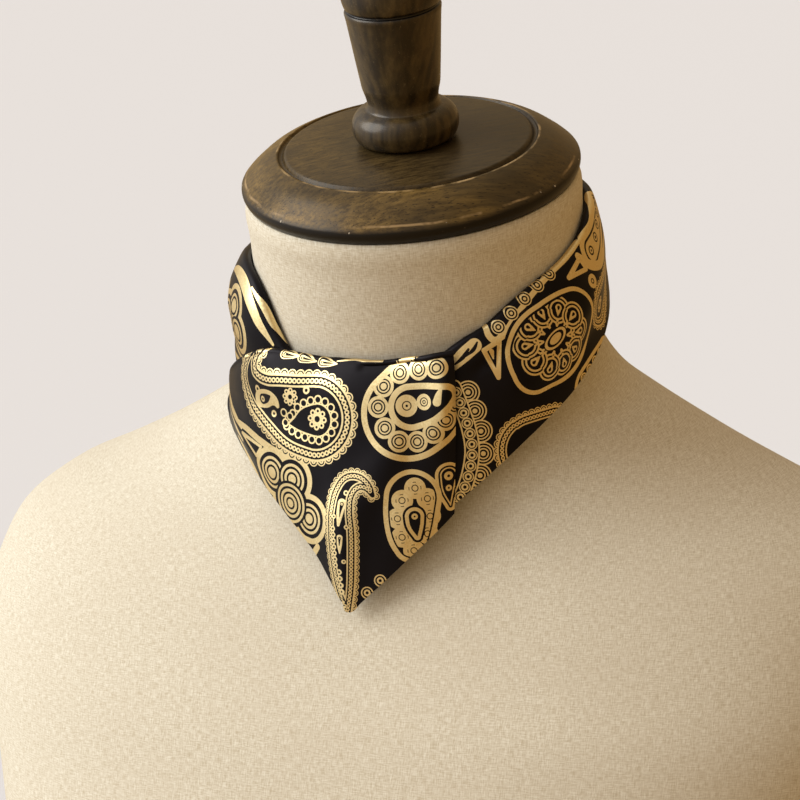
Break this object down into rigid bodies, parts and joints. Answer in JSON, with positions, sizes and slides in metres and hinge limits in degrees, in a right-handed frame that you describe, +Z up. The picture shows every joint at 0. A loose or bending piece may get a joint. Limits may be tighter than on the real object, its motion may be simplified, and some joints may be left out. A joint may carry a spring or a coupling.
{
  "type": "square scarf on a limbless dress form",
  "caption": "Printed satin square scarf folded to a triangle and worn round the neck of a limbless dress form, point in front, ends crossed at the nape.",
  "frame": {"origin": "middle of the dress form's flat base, which is also the middle of the box round the part at its foot", "axes": "+Z up, the front of the form and the scarf's point face -Y, +X is on the right when seen from the front"},
  "size_m": [0.398, 0.22, 0.5228],
  "materials": {
    "linen": "plain-woven linen, matt",
    "stained_wood": "turned, stained dark and lacquered, worn at the edges",
    "printed_satin": "black satin printed with gold foil paisleys"
  },
  "bodies": {
    "root": {"form_body": "linen", "neck_cap": "stained_wood", "finial": "stained_wood", "left_wrap": "printed_satin", "right_wrap": "printed_satin", "front_drape": "printed_satin"}
  },
  "joints": []
}
